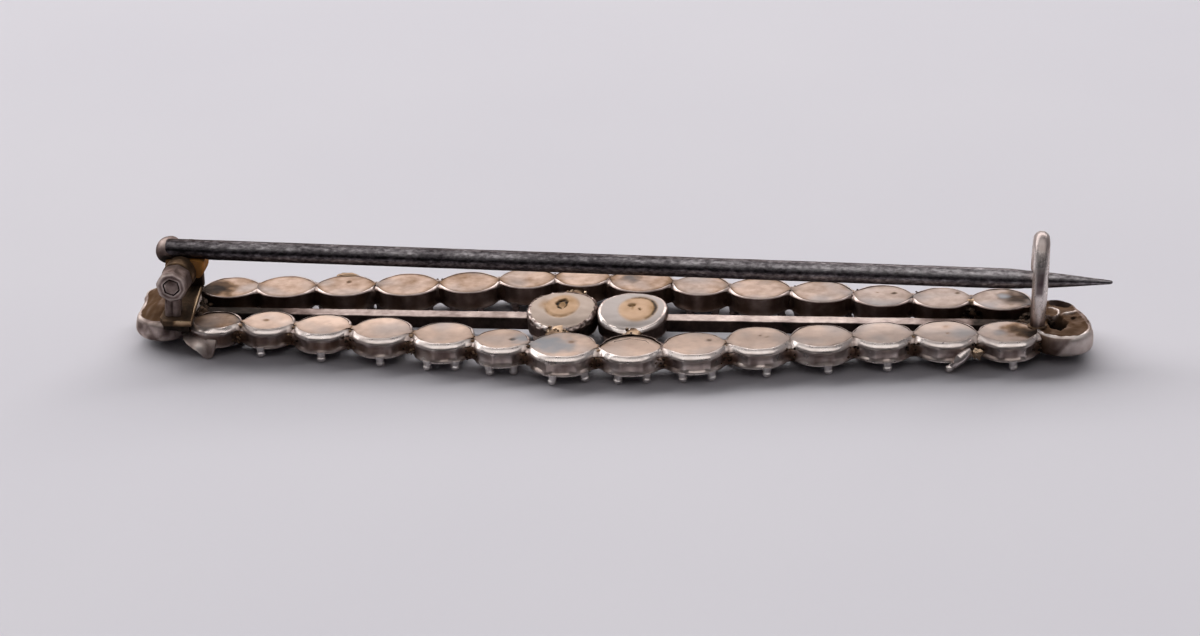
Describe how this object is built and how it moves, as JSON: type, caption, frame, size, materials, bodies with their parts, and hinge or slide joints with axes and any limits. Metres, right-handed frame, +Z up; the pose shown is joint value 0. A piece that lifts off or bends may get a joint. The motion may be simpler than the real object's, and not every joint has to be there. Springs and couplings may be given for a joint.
{
  "type": "brooch",
  "caption": "Openwork navette brooch of closed-back collets with old-cut clear stones, a middle bar, a hinged steel pin and a hook catch; lies face down.",
  "frame": {"origin": "on the surface the brooch lies on, face down, under the middle of the metalwork", "axes": "+X along the brooch from the hinge to the catch, +Y across it to the far row, +Z up out of its back"},
  "size_m": [0.051, 0.0128, 0.006],
  "materials": {
    "frame_metal": "old silver over yellow gold, polished on the rims, matte and warm on the back plates, brown tarnish in the corners",
    "rivet_metal": "dull, worn",
    "barrel_brass": "dark, tarnished",
    "stem_steel": "dark, mottled, drawn lengthwise",
    "stones": "cut and polished, clear; stands for diamond"
  },
  "bodies": {
    "brooch": {"frame": "frame_metal", "hinge_rivet": "rivet_metal", "centre_stone_left": "stones", "centre_stone_right": "stones", "front_stone_01": "stones", "front_stone_02": "stones", "front_stone_03": "stones", "front_stone_04": "stones", "front_stone_05": "stones", "front_stone_06": "stones", "front_stone_07": "stones", "front_stone_08": "stones", "front_stone_09": "stones", "front_stone_10": "stones", "front_stone_11": "stones", "front_stone_12": "stones", "front_stone_13": "stones", "front_stone_14": "stones", "front_stone_15": "stones", "front_stone_16": "stones", "back_stone_01": "stones", "back_stone_02": "stones", "back_stone_03": "stones", "back_stone_04": "stones", "back_stone_05": "stones", "back_stone_06": "stones", "back_stone_07": "stones", "back_stone_08": "stones", "back_stone_09": "stones", "back_stone_10": "stones", "back_stone_11": "stones", "back_stone_12": "stones", "back_stone_13": "stones", "back_stone_14": "stones", "back_stone_15": "stones", "back_stone_16": "stones"},
    "pin": {"pin_barrel": "barrel_brass", "pin_stem": "stem_steel"}
  },
  "joints": [
    {"name": "pin_hinge", "type": "hinge", "parent": "brooch", "child": "pin", "pos_m": [-0.02262, -0.0001, 0.00355], "axis": [0, -1, 0], "range_deg": [0, 100], "deforming": ["pin_stem"]}
  ]
}
